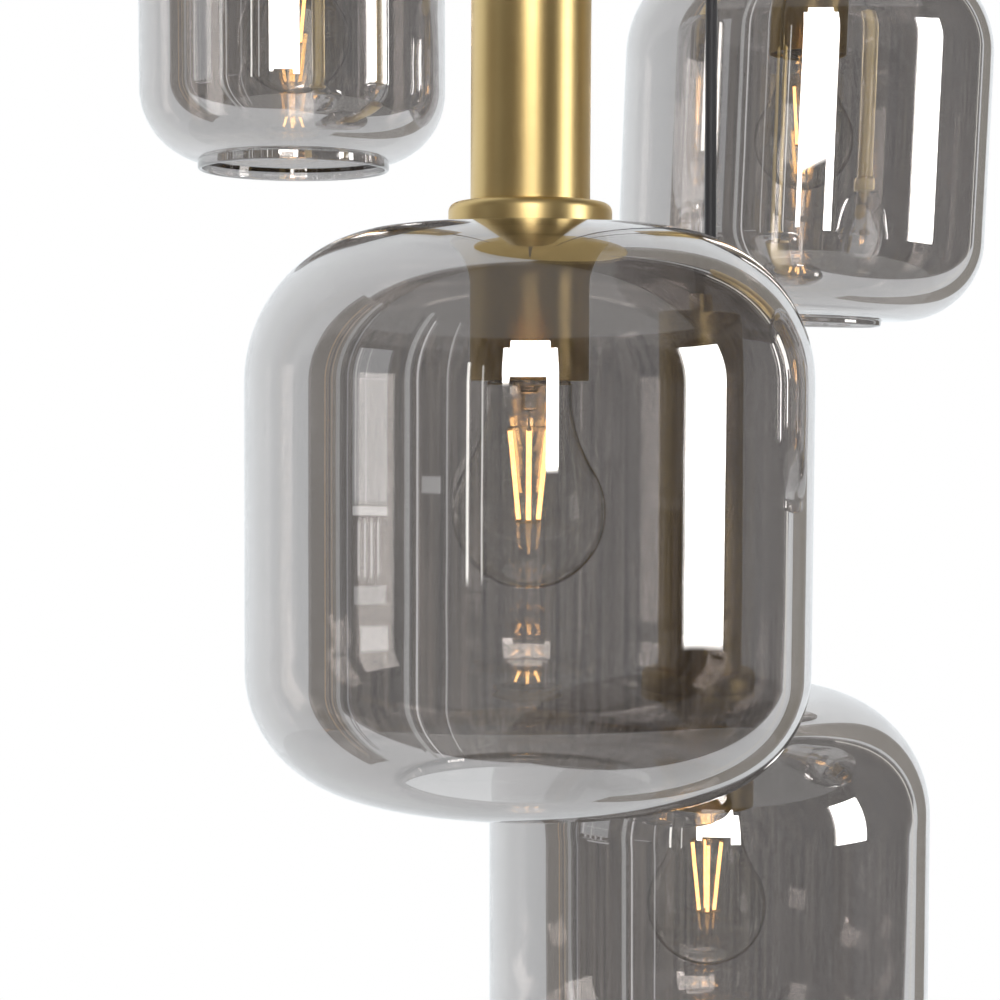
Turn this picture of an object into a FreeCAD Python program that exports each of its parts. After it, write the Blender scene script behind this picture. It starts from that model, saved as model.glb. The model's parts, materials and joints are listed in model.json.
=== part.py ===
import FreeCAD, Part
import math
import os
import re
import Sketcher
from FreeCAD import Placement, Rotation, Vector

# Cluster pendant: five smoked glass shades on satin brass tubes, each hanging by its own
# cord from one round ceiling pan. Millimetres, +Z up. The origin is the centre of the pan
# at the ceiling, the camera side is -Y. Each pendant is drawn about its own axis with
# z = 0 on the top of its glass, and is then hung under its outlet.

doc = FreeCAD.newDocument("cluster_pendant")

# ---------------------------------------------------------------- driving dimensions
SIZES = {
    # layout: one pendant in the middle, four on a ring, and how far each glass hangs down
    "ring_radius": 234, "ring_bearing": 67,
    "drop_front": 905, "drop_left": 667, "drop_back": 705, "drop_centre": 1115,
    "drop_right": 845,
    "lean_front": 0.3, "lean_left": 0, "lean_back": 2.3, "lean_centre": 0, "lean_right": 0,
    # glass shades, wide and narrow
    "glass_wall": 2.5, "glass_hole_radius": 21, "mouth_radius": 51.5, "lip_height": 4,
    "wide_radius": 109.5, "wide_height": 220, "wide_shoulder": 59.5, "wide_foot": 47,
    "narrow_radius": 82, "narrow_height": 180, "narrow_shoulder": 45, "narrow_foot": 38.5,
    # brass tube, collar and cord gland
    "tube_radius": 23, "tube_length": 183, "tube_wall": 1.2, "tube_cap": 1.5,
    "tube_edge": 0.8,
    "collar_radius": 31.5, "collar_height": 10, "collar_edge": 3.5, "spigot_height": 6,
    "gland_radius": 6.4, "gland_height": 12, "gland_edge": 1,
    # socket cup and lampholder under the glass
    "cup_radius": 23, "cup_depth": 58, "cup_wall": 1.2, "cup_plate": 2,
    "flare_radius": 30.5, "flare_depth": 18.5, "cup_spigot": 1.5,
    "holder_wall": 7, "holder_inset": 2, "holder_boss": 12,
    # hollow rod that clamps each pendant, and its nuts
    "rod_radius": 5, "rod_wall": 1.8, "rod_nut_radius": 8.5, "rod_nut_height": 4,
    # screw-cap lamp
    "neck_inset": 1, "neck_top": "=cup_depth - neck_inset", "neck_radius": 16.7,
    "bulb_radius": 30, "bulb_fall": 51.8, "bulb_centre": "=neck_top + bulb_fall",
    "neck_length": 7, "neck_edge": 3.5, "bulb_wall": 0.8,
    "cap_radius": 13.2, "cap_length": 27, "cap_contact": 4.6, "cap_tip": 2.4,
    "cap_shoulder": 4.5, "cap_wall": 0.6,
    "led_start": 19, "led_top": "=neck_top + led_start",
    "led_end": 56, "led_bottom": "=neck_top + led_end", "led_spread": 7.4, "led_close": 3.7,
    "led_radius": 0.9, "stem_radius": 3.4, "stem_length": 12, "wire_radius": 0.4,
    # cords and their grips
    "cord_radius": 2.9, "grip_radius": 8, "grip_length": 12, "grip_neck": 5,
    "grip_nut_radius": 8, "grip_nut_height": 4, "grip_edge": 2,
    # ceiling pan, bracket and connector
    "pan_radius": 275, "pan_depth": 30, "pan_wall": 1.2, "pan_edge": 4,
    "bar_length": 300, "bar_width": 30, "bar_thickness": 3, "mains_radius": 10,
    "slot_spacing": 160, "slot_length": 20, "slot_width": 5.5,
    "stud_spacing": 260, "stud_radius": 2.5, "stud_end": 6,
    "cap_nut_radius": 7, "cap_nut_height": 11, "cap_nut_flange": 8.5,
    "block_length": 34, "block_width": 22, "block_height": 16, "block_offset": 40,
    "pole_radius": 2, "pole_spacing": 9,
    # clearances
    "cord_play": 0.4, "thread_play": 0.15, "seat_play": 0.1, "hole_play": 0.5,
    "holder_play": 0.6, "nut_gap": 0.5,
}

sheet = doc.addObject("Spreadsheet::Sheet", "Sizes")
for row, (alias, value) in enumerate(SIZES.items(), start=1):
    sheet.set("A%d" % row, alias)
    sheet.set("B%d" % row, str(value))
    sheet.setAlias("B%d" % row, alias)
doc.recompute()


def linked(text):
    """The text as an expression whose size names point at the sheet."""
    return re.sub(r"[a-z]\w*", lambda m: "Sizes." + m[0] if m[0] in SIZES else m[0], text)


def size(text):
    """The number that an expression of sizes stands for now."""
    return float(sheet.evalExpression(linked(text)))


# ---------------------------------------------------------------- sketch helpers
def plane_of(body, role):
    return next(f for f in body.Origin.OriginFeatures if f.Role == role)


def arc_between(start, end, radius, turns_left):
    """A circle arc of under half a turn, always stored anticlockwise."""
    chord = end - start
    half = chord.Length / 2
    side = Vector(-chord.y, chord.x, 0).normalize()
    reach = math.sqrt(max(0.0, radius ** 2 - half ** 2))
    centre = (start + end) * 0.5 + side * (reach if turns_left else -reach)
    first, last = (start, end) if turns_left else (end, start)
    angles = [math.atan2(p.y - centre.y, p.x - centre.x) for p in (first, last)]
    if angles[1] < angles[0]:
        angles[1] += 2 * math.pi
    return Part.ArcOfCircle(Part.Circle(centre, Vector(0, 0, 1), radius), *angles)


def outline(sketch, corners):
    """Close a run of corners (x, y) with lines; (x, y, radius, "left" or "right") starts
    an arc instead. Each number is an expression of sizes and stays bound to the sheet."""
    points = [Vector(size(c[0]), size(c[1]), 0) for c in corners]
    first_edge = sketch.GeometryCount
    ends = []
    for i, corner in enumerate(corners):
        start, end = points[i], points[(i + 1) % len(points)]
        if len(corner) == 2:
            sketch.addGeometry(Part.LineSegment(start, end), False)
            ends.append((1, 2))
        else:
            turns_left = corner[3] == "left"
            arc = arc_between(start, end, size(corner[2]), turns_left)
            sketch.addGeometry(arc, False)
            ends.append((1, 2) if turns_left else (2, 1))
    for i, corner in enumerate(corners):
        edge = first_edge + i
        after = (i + 1) % len(corners)
        join = Sketcher.Constraint("Coincident", edge, ends[i][1], first_edge + after,
                                   ends[after][0])
        sketch.addConstraint(join)
        for axis, text, line in (("DistanceX", corner[0], -2), ("DistanceY", corner[1], -1)):
            if text == "0":
                on_axis = Sketcher.Constraint("PointOnObject", edge, ends[i][0], line)
                sketch.addConstraint(on_axis)
            else:
                index = sketch.addConstraint(
                    Sketcher.Constraint(axis, -1, 1, edge, ends[i][0], size(text)))
                sketch.setExpression("Constraints[%d]" % index, linked(text))
        if len(corner) > 2:
            index = sketch.addConstraint(
                Sketcher.Constraint("Radius", edge, size(corner[2])))
            sketch.setExpression("Constraints[%d]" % index, linked(corner[2]))


def circle(sketch, x, y, radius):
    edge = sketch.addGeometry(Part.Circle(Vector(size(x), size(y), 0), Vector(0, 0, 1),
                                          size(radius)), False)
    for axis, text, line in (("DistanceX", x, -2), ("DistanceY", y, -1)):
        if text == "0":
            sketch.addConstraint(Sketcher.Constraint("PointOnObject", edge, 3, line))
        else:
            index = sketch.addConstraint(
                Sketcher.Constraint(axis, -1, 1, edge, 3, size(text)))
            sketch.setExpression("Constraints[%d]" % index, linked(text))
    index = sketch.addConstraint(Sketcher.Constraint("Radius", edge, size(radius)))
    sketch.setExpression("Constraints[%d]" % index, linked(radius))


def new_sketch(body, name, role):
    sketch = body.newObject("Sketcher::SketchObject", name)
    sketch.AttachmentSupport = [(plane_of(body, role), "")]
    sketch.MapMode = "FlatFace"
    return sketch


def new_body(name):
    body = doc.addObject("PartDesign::Body", name)
    body.Label = name
    return body


def turned(name, corners):
    """A body turned about its Z axis from a half section of (radius, height) corners."""
    body = new_body(name)
    sketch = new_sketch(body, name + "_section", "XZ_Plane")
    outline(sketch, corners)
    solid = body.newObject("PartDesign::Revolution", name + "_turned")
    solid.Profile = sketch
    solid.ReferenceAxis = (sketch, ["V_Axis"])
    solid.Angle = 360
    body.Tip = solid
    return body


def padded(body, name, draw, length, downwards=True, at="0"):
    """Pad a sketch drawn on the XY plane at height `at` by `length`."""
    sketch = new_sketch(body, name + "_sketch", "XY_Plane")
    sketch.setExpression("AttachmentOffset.Base.z", linked(at))
    draw(sketch)
    pad = body.newObject("PartDesign::Pad", name)
    pad.Profile = sketch
    pad.setExpression("Length", linked(length))
    pad.Reversed = downwards
    body.Tip = pad
    return pad


def hex_nut(name, radius, height, bore, at):
    """A hexagon nut, its underside at height `at`."""
    prism = doc.addObject("Part::Prism", name + "_blank")
    prism.Polygon = 6
    prism.setExpression("Circumradius", linked(radius))
    prism.setExpression("Height", linked(height))
    prism.setExpression("Placement.Base.z", linked(at))
    hole = doc.addObject("Part::Cylinder", name + "_bore")
    hole.setExpression("Radius", linked(bore))
    hole.setExpression("Height", linked("%s + 2 * hole_play" % height))
    hole.setExpression("Placement.Base.z", linked("%s - hole_play" % at))
    nut = doc.addObject("Part::Cut", name)
    nut.Base = prism
    nut.Tool = hole
    return nut


# ---------------------------------------------------------------- pieces of one pendant
def make_shade(name, kind):
    """Blown glass jar: hole at the top, round shoulder and foot, short lip round the mouth.
    A narrow jar's foot sweeps straight into the lip, a wide one has a flat ring between."""
    wall = "glass_wall"
    radius = kind + "_radius"
    shoulder = kind + "_shoulder"
    foot = kind + "_foot"
    base = "-(%s_height - lip_height)" % kind
    rim = "-%s_height" % kind
    foot_centre = "%s + %s" % (base, foot)
    foot_axis = "(%s - %s)" % (radius, foot)
    inner_foot = "(%s - %s)" % (foot, wall)
    inner_mouth = "(mouth_radius - %s)" % wall

    def foot_height(bend, reach):
        return "%s - sqrt(%s ^ 2 - (%s - %s) ^ 2)" % (foot_centre, bend, reach, foot_axis)

    outer_foot = [(radius, foot_centre, foot, "right")]
    if size("mouth_radius") > size(foot_axis):
        outer_foot.append(("mouth_radius", foot_height(foot, "mouth_radius")))
    else:
        outer_foot += [(foot_axis, base), ("mouth_radius", base)]
    if size(inner_mouth) > size(foot_axis):
        inside_foot = [(inner_mouth, foot_height(inner_foot, inner_mouth), inner_foot, "left")]
    else:
        inside_foot = [(inner_mouth, "%s + %s" % (base, wall)),
                       (foot_axis, "%s + %s" % (base, wall), inner_foot, "left")]
    return turned(name, [
        ("glass_hole_radius", "0"),
        ("%s - %s" % (radius, shoulder), "0", shoulder, "right"),
        (radius, "-" + shoulder),
    ] + outer_foot + [
        ("mouth_radius", "%s + %s / 2" % (rim, wall), wall + " / 2", "right"),
        ("mouth_radius - %s / 2" % wall, rim, wall + " / 2", "right"),
        (inner_mouth, "%s + %s / 2" % (rim, wall)),
    ] + inside_foot + [
        ("%s - %s" % (radius, wall), foot_centre),
        ("%s - %s" % (radius, wall), "-" + shoulder, "%s - %s" % (shoulder, wall), "left"),
        ("%s - %s" % (radius, shoulder), "-" + wall),
        ("glass_hole_radius", "-" + wall),
    ])


def make_tube(name):
    """Drawn brass tube, closed at the top but for the rod's hole."""
    top = "collar_height + tube_length"
    inner = "tube_radius - tube_wall"
    bore = "rod_radius + thread_play"
    return turned(name, [
        ("tube_radius", "collar_height"),
        ("tube_radius", top + " - tube_edge", "tube_edge", "left"),
        ("tube_radius - tube_edge", top),
        (bore, top),
        (bore, top + " - tube_cap"),
        (inner, top + " - tube_cap"),
        (inner, "collar_height"),
    ])


def make_collar(name):
    """Turned brass disc on the glass, with a spigot that centres the tube."""
    bore = "rod_radius + thread_play"
    spigot = "tube_radius - tube_wall - seat_play"
    return turned(name, [
        ("collar_radius", "0"),
        ("collar_radius", "collar_height - collar_edge", "collar_edge", "left"),
        ("collar_radius - collar_edge", "collar_height"),
        (spigot, "collar_height"),
        (spigot, "collar_height + spigot_height"),
        (bore, "collar_height + spigot_height"),
        (bore, "0"),
    ])


GLAND_FOOT = "collar_height + tube_length"
GLAND_TOP = GLAND_FOOT + " + gland_height"


def make_gland(name):
    """Brass cord gland: screwed on the rod below, open for the cord above."""
    cord_bore = "cord_radius + cord_play"
    rod_bore = "rod_radius + thread_play"
    step = GLAND_FOOT + " + gland_height / 2 + nut_gap"
    return turned(name, [
        ("gland_radius", GLAND_FOOT),
        ("gland_radius", GLAND_TOP + " - gland_edge", "gland_edge", "left"),
        ("gland_radius - gland_edge", GLAND_TOP),
        (cord_bore, GLAND_TOP),
        (cord_bore, step),
        (rod_bore, step),
        (rod_bore, GLAND_FOOT),
    ])


def make_cup(name):
    """Spun brass cup under the glass: spigot in the glass hole, flared seat, straight skirt."""
    bore = "rod_radius + thread_play"
    spigot = "glass_hole_radius - hole_play"
    inner = "cup_radius - cup_wall"
    sweep = "(flare_depth ^ 2 + (flare_radius - cup_radius) ^ 2)"
    hollow = sweep + " / (2 * (flare_radius - cup_radius))"
    return turned(name, [
        (bore, "-glass_wall + cup_spigot"),
        (spigot, "-glass_wall + cup_spigot"),
        (spigot, "-glass_wall"),
        ("flare_radius", "-glass_wall"),
        ("flare_radius", "-glass_wall - cup_wall / 2", hollow, "left"),
        ("cup_radius", "-glass_wall - cup_wall / 2 - flare_depth"),
        ("cup_radius", "-cup_depth"),
        (inner, "-cup_depth"),
        (inner, "-glass_wall - cup_plate"),
        (bore, "-glass_wall - cup_plate"),
    ])


HOLDER_TOP = "-glass_wall - cup_plate - rod_nut_height - nut_gap"
HOLDER_END = "-cup_depth + holder_inset"


def make_lampholder(name):
    """Porcelain holder: rod boss above, threaded well for the lamp cap below."""
    outer = "cup_radius - cup_wall - holder_play"
    bore = "rod_radius + thread_play"
    well = "cap_radius + holder_play"
    well_top = "-(neck_top - cap_length) + holder_inset"
    return turned(name, [
        (bore, HOLDER_TOP),
        (outer + " - holder_wall / 2", HOLDER_TOP),
        (outer, HOLDER_TOP + " - holder_wall / 2"),
        (outer, HOLDER_END),
        (well, HOLDER_END),
        (well, well_top),
        (bore, well_top),
    ])


def make_rod(name):
    """Hollow threaded rod from the lampholder to the gland, with a nut on the collar and
    one under the cup's plate."""
    rod = turned(name + "_tube", [
        ("rod_radius", HOLDER_TOP + " - holder_boss"),
        ("rod_radius", GLAND_FOOT + " + gland_height / 2"),
        ("rod_radius - rod_wall", GLAND_FOOT + " + gland_height / 2"),
        ("rod_radius - rod_wall", HOLDER_TOP + " - holder_boss"),
    ])
    bore = "rod_radius + thread_play"
    upper = hex_nut(name + "_upper_nut", "rod_nut_radius", "rod_nut_height", bore,
                    "collar_height + spigot_height")
    lower = hex_nut(name + "_lower_nut", "rod_nut_radius", "rod_nut_height", bore,
                    "-glass_wall - cup_plate - rod_nut_height")
    return compound(name, [rod, upper, lower])


def make_cap(name):
    """Screw cap of the lamp: contact tip, insulating cone, thin sleeve open to the neck."""
    top = "-(neck_top - cap_length)"
    sleeve = top + " - cap_tip - cap_shoulder"
    return turned(name, [
        ("0", top),
        ("cap_contact - cap_tip / 2", top, "cap_tip / 2", "right"),
        ("cap_contact", top + " - cap_tip / 2"),
        ("cap_contact", top + " - cap_tip"),
        ("cap_radius", sleeve),
        ("cap_radius", "-neck_top"),
        ("cap_radius - cap_wall", "-neck_top"),
        ("cap_radius - cap_wall", sleeve),
        ("cap_contact - cap_wall", top + " - cap_tip - cap_wall"),
        ("0", top + " - cap_tip - cap_wall"),
    ])


def make_bulb(name):
    """Clear envelope: neck, hollow sweep into the round bulb, one thin wall."""
    fall = "(bulb_centre - neck_top - neck_length)"
    sweep = ("((neck_radius ^ 2 + %s ^ 2 - bulb_radius ^ 2)"
             " / (2 * (bulb_radius - neck_radius)))" % fall)
    share = "(bulb_radius / (bulb_radius + %s))" % sweep
    inner_share = "((bulb_radius - bulb_wall) / (bulb_radius + %s))" % sweep
    join_radius = "%s * (neck_radius + %s)" % (share, sweep)
    join_height = "-bulb_centre + %s * %s" % (share, fall)
    inner_join_radius = "%s * (neck_radius + %s)" % (inner_share, sweep)
    inner_join_height = "-bulb_centre + %s * %s" % (inner_share, fall)
    neck_end = "-neck_top - neck_length"
    inner = "bulb_radius - bulb_wall"
    return turned(name, [
        ("neck_radius - neck_edge", "-neck_top", "neck_edge", "right"),
        ("neck_radius", "-neck_top - neck_edge"),
        ("neck_radius", neck_end, sweep, "left"),
        (join_radius, join_height, "bulb_radius", "right"),
        ("bulb_radius", "-bulb_centre", "bulb_radius", "right"),
        ("0", "-bulb_centre - bulb_radius"),
        ("0", "-bulb_centre - bulb_radius + bulb_wall", inner, "left"),
        (inner, "-bulb_centre", inner, "left"),
        (inner_join_radius, inner_join_height, "%s + bulb_wall" % sweep, "right"),
        ("neck_radius - bulb_wall", neck_end),
        ("neck_radius - bulb_wall", "-neck_top - neck_edge", "neck_edge - bulb_wall", "left"),
        ("neck_radius - neck_edge", "-neck_top - bulb_wall"),
    ])


def make_filament(name):
    """Glass stem with a centre wire and four light strips that close in downwards."""
    stem = turned(name + "_stem", [
        ("0", "-neck_top"),
        ("neck_radius - neck_edge - seat_play", "-neck_top"),
        ("stem_radius", "-neck_top - neck_edge"),
        ("stem_radius", "-neck_top - stem_length"),
        ("wire_radius", "-neck_top - stem_length - stem_radius / 2"),
        ("wire_radius", "-led_bottom - wire_radius"),
        ("0", "-led_bottom - wire_radius"),
    ])
    length = "sqrt((led_spread - led_close) ^ 2 + (led_bottom - led_top) ^ 2)"
    tilt = math.atan2(size("led_spread - led_close"), size("led_bottom - led_top"))
    foot = Vector(size("led_close"), 0, -size("led_bottom"))
    level = Rotation(Vector(0, 1, 0), 90)
    pieces = [stem]
    for quarter in range(4):
        turn = Rotation(Vector(0, 0, 1), 90 * quarter)
        slant = turn * Rotation(Vector(0, 1, 0), math.degrees(tilt))
        ends = [
            ("strip", "led_radius", length, turn.multVec(foot), slant),
            ("upper_wire", "wire_radius", "led_spread", Vector(0, 0, -size("led_top")),
             turn * level),
            ("lower_wire", "wire_radius", "led_close", Vector(0, 0, -size("led_bottom")),
             turn * level),
        ]
        for part_name, radius, reach, start, way in ends:
            rod = doc.addObject("Part::Cylinder", "%s_%s_%d" % (name, part_name, quarter + 1))
            rod.setExpression("Radius", linked(radius))
            rod.setExpression("Height", linked(reach))
            rod.Placement = Placement(start, way)
            pieces.append(rod)
    joined = doc.addObject("Part::MultiFuse", name)
    joined.Label = name
    joined.Shapes = pieces
    return joined


def make_cord(name, drop):
    """Round cord between its two swing points, ball ended in the gland and in the grip."""
    lower = GLAND_TOP
    upper = "%s - pan_depth - grip_length" % drop
    return turned(name, [
        ("0", "%s - cord_radius" % lower, "cord_radius", "left"),
        ("cord_radius", lower),
        ("cord_radius", upper, "cord_radius", "left"),
        ("0", "%s + cord_radius" % upper),
    ])


def compound(name, pieces):
    group = doc.addObject("Part::Compound", name)
    group.Label = name
    group.Links = pieces
    return group


# ---------------------------------------------------------------- pieces at the ceiling
def make_pan(name, outlets):
    """Round ceiling pan, open upwards, with five cord holes and two stud holes."""
    inner = "pan_radius - pan_wall"
    body = turned(name, [
        ("0", "-pan_depth"),
        ("pan_radius - pan_edge", "-pan_depth", "pan_edge", "left"),
        ("pan_radius", "-pan_depth + pan_edge"),
        ("pan_radius", "0"),
        (inner, "0"),
        (inner, "-pan_depth + pan_edge", "pan_edge - pan_wall", "right"),
        ("pan_radius - pan_edge", "-pan_depth + pan_wall"),
        ("0", "-pan_depth + pan_wall"),
    ])
    sketch = new_sketch(body, name + "_holes", "XY_Plane")
    for x, y in outlets:
        circle(sketch, x, y, "grip_neck + thread_play")
    for side in ("-", ""):
        circle(sketch, side + "stud_spacing / 2", "0", "stud_radius + thread_play")
    holes = body.newObject("PartDesign::Pocket", name + "_drilled")
    holes.Profile = sketch
    holes.setExpression("Length", linked("pan_depth + pan_wall"))
    body.Tip = holes
    return body


def slot(sketch, centre):
    """A lengthwise slot with round ends."""
    half = "(slot_length - slot_width) / 2"
    end = "slot_width / 2"
    near, far = "%s - %s" % (centre, half), "%s + %s" % (centre, half)
    outline(sketch, [
        (near, "-" + end),
        (far, "-" + end, end, "left"),
        ("%s + %s" % (far, end), "0", end, "left"),
        (far, end),
        (near, end, end, "left"),
        ("%s - %s" % (near, end), "0", end, "left"),
    ])


def make_bracket(name):
    """Steel bar against the ceiling: mains hole, two screw slots, two captive studs."""
    body = new_body(name)

    def bar(sketch):
        outline(sketch, [
            ("-bar_length / 2", "-bar_width / 2"),
            ("bar_length / 2", "-bar_width / 2"),
            ("bar_length / 2", "bar_width / 2"),
            ("-bar_length / 2", "bar_width / 2"),
        ])
        circle(sketch, "0", "0", "mains_radius")
        for side in ("-", ""):
            slot(sketch, side + "slot_spacing / 2")

    def studs(sketch):
        for side in ("-", ""):
            circle(sketch, side + "stud_spacing / 2", "0", "stud_radius")

    padded(body, name + "_bar", bar, "bar_thickness")
    padded(body, name + "_studs", studs, "pan_depth + stud_end")
    return body


def make_cap_nut(name):
    """Domed nut under the pan, blind-bored for the stud."""
    top = "-pan_depth"
    floor = "-pan_depth - stud_end - nut_gap"
    dome_start = "-pan_depth - cap_nut_height + cap_nut_radius"
    bore = "stud_radius + thread_play"
    return turned(name, [
        (bore, top),
        ("cap_nut_flange", top),
        ("cap_nut_flange", top + " - nut_gap * 2"),
        ("cap_nut_radius", top + " - nut_gap * 3"),
        ("cap_nut_radius", dome_start, "cap_nut_radius", "right"),
        ("0", "-pan_depth - cap_nut_height"),
        ("0", floor),
        (bore, floor),
    ])


def make_block(name):
    """Mains connector under the bar, with three wire ways across it."""
    body = new_body(name)

    def case(sketch):
        left = "block_offset - block_length / 2"
        right = "block_offset + block_length / 2"
        outline(sketch, [
            (left, "-block_width / 2"), (right, "-block_width / 2"),
            (right, "block_width / 2"), (left, "block_width / 2"),
        ])

    padded(body, name + "_case", case, "block_height", at="-bar_thickness")
    sketch = new_sketch(body, name + "_ways", "XZ_Plane")
    for centre in ("block_offset - pole_spacing", "block_offset", "block_offset + pole_spacing"):
        circle(sketch, centre, "-bar_thickness - block_height / 2", "pole_radius")
    ways = body.newObject("PartDesign::Pocket", name + "_wire_ways")
    ways.Profile = sketch
    ways.Midplane = True
    ways.setExpression("Length", linked("2 * block_width"))
    body.Tip = ways
    return body


def make_grip(name):
    """Cord grip: nipple through the pan, tapered nose below."""
    bore = "cord_radius + cord_play"
    top = "-pan_depth + pan_wall + grip_nut_height + nut_gap * 2"
    return turned(name, [
        (bore, "-pan_depth - grip_length"),
        ("grip_radius - grip_edge", "-pan_depth - grip_length"),
        ("grip_radius", "-pan_depth - grip_length + grip_edge"),
        ("grip_radius", "-pan_depth"),
        ("grip_neck", "-pan_depth"),
        ("grip_neck", top),
        (bore, top),
    ])


# ---------------------------------------------------------------- build
# name, kind of shade, outlet as (x, y) expressions
ALONG = "ring_radius * cos(ring_bearing)"
ACROSS = "ring_radius * sin(ring_bearing)"
PENDANTS = [
    ("front", "wide", ("-" + ALONG, "-" + ACROSS)),
    ("left", "narrow", ("-" + ACROSS, ALONG)),
    ("back", "wide", (ALONG, ACROSS)),
    ("centre", "wide", ("0", "0")),
    ("right", "narrow", (ACROSS, "-" + ALONG)),
]

nodes = []
for pendant, kind, outlet in PENDANTS:
    x, y = size(outlet[0]), size(outlet[1])
    drop = "drop_" + pendant
    glass_top = Vector(x, y, -size(drop))
    bearing = math.radians(size("ring_bearing"))
    lean = Rotation(Vector(math.cos(bearing), math.sin(bearing), 0), size("lean_" + pendant))
    pivot = Vector(0, 0, size(GLAND_TOP))
    leaning = Placement(glass_top, lean, pivot)
    cord = make_cord(pendant + "_cord", drop)
    cord.Placement = Placement(glass_top, Rotation())
    parts = [
        make_gland(pendant + "_cord_gland"),
        make_tube(pendant + "_tube"),
        make_collar(pendant + "_collar"),
        make_shade(pendant + "_shade", kind),
        make_cup(pendant + "_socket_cup"),
        make_lampholder(pendant + "_lampholder"),
        make_rod(pendant + "_threaded_rod"),
        make_cap(pendant + "_bulb_cap"),
        make_bulb(pendant + "_bulb_glass"),
        make_filament(pendant + "_bulb_filament"),
    ]
    for piece in parts:
        piece.Placement = leaning
    nodes += [cord] + parts

nodes.append(make_pan("canopy_pan", [p[2] for p in PENDANTS]))
nodes.append(make_bracket("mounting_bracket"))
nodes.append(make_block("terminal_block"))

nuts = []
for number, side in enumerate(("-", "")):
    nut = make_cap_nut("cap_nut_%d" % (number + 1))
    nut.setExpression("Placement.Base.x", linked(side + "stud_spacing / 2"))
    nuts.append(nut)
nodes.append(compound("cap_nuts", nuts))

grips = []
for pendant, kind, outlet in PENDANTS:
    grip = make_grip("grip_" + pendant)
    lock = hex_nut("grip_nut_" + pendant, "grip_nut_radius", "grip_nut_height",
                   "grip_neck + thread_play", "-pan_depth + pan_wall")
    for piece in (grip, lock):
        piece.Placement = Placement(Vector(size(outlet[0]), size(outlet[1]), 0), Rotation())
    grips += [grip, lock]
nodes.append(compound("cord_grips", grips))

doc.recompute()

# ---------------------------------------------------------------- checks and files
for thing in doc.Objects:
    if "Invalid" in thing.State or "Error" in thing.State:
        raise RuntimeError("%s did not build: %s" % (thing.Name, thing.State))

for node in nodes:
    if node.Shape.isNull() or not node.Shape.isValid():
        raise RuntimeError("%s has no valid shape" % node.Label)

os.makedirs("parts", exist_ok=True)
for node in nodes:
    node.Shape.exportStep("parts/%s.step" % node.Label)
    box = node.Shape.BoundBox
    print("%-24s %2d solid(s) %12.1f mm3  z %8.1f .. %7.1f"
          % (node.Label, len(node.Shape.Solids), node.Shape.Volume, box.ZMin, box.ZMax))
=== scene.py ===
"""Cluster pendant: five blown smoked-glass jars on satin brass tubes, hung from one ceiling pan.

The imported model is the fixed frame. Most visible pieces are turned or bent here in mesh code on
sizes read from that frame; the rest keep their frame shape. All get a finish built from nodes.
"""
import json
import math

import bmesh
import bpy
from bpy.props import FloatProperty, FloatVectorProperty, IntProperty, PointerProperty
from mathutils import Matrix, Vector, noise


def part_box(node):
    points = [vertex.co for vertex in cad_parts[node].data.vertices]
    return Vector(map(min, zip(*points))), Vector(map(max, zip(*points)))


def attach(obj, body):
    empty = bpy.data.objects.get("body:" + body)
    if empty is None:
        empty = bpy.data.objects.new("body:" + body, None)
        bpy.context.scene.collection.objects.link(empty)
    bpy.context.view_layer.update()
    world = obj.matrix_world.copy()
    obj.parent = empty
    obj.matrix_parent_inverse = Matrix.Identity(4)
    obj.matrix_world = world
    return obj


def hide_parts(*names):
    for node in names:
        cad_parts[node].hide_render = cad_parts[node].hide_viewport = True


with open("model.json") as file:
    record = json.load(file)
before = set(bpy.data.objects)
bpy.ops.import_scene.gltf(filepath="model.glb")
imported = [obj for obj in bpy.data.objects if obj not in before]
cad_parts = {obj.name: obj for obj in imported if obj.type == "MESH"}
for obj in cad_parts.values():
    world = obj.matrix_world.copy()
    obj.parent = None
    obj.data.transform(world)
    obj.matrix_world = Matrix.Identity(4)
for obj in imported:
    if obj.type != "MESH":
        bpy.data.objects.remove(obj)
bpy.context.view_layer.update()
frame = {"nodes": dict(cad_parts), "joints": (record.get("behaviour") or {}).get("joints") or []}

bl_info = {
    "name": "Cluster Pendant",
    "version": (1, 0, 0),
    "blender": (4, 5, 0),
    "location": "View3D > Sidebar > Cluster Pendant",
    "description": "Builds the glass, brass, lamps and cords of a five-light cluster pendant",
    "category": "Add Mesh",
}

PENDANTS = ("front", "left", "back", "centre", "right")
NARROW = ("left", "right")
MM = 0.001
ON_AXIS = 0.001 * MM    # a point nearer to the axis than this lies on it
SIDE_SHARE = 0.49       # a rounding takes up to this share of a side
FINE_STEP = 3           # degrees between the points of a jar's or cup's bends


# ---- sizes read from the frame
def half_width(node):
    low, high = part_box(node)
    return (high.x - low.x) / 2


def tall(node):
    low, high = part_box(node)
    return high.z - low.z


def from_glass(node, end):
    """Height of a piece's bottom (end 0) or top (end 1) over the top of the glass."""
    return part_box(node)[end].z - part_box("centre_shade")[1].z


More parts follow.
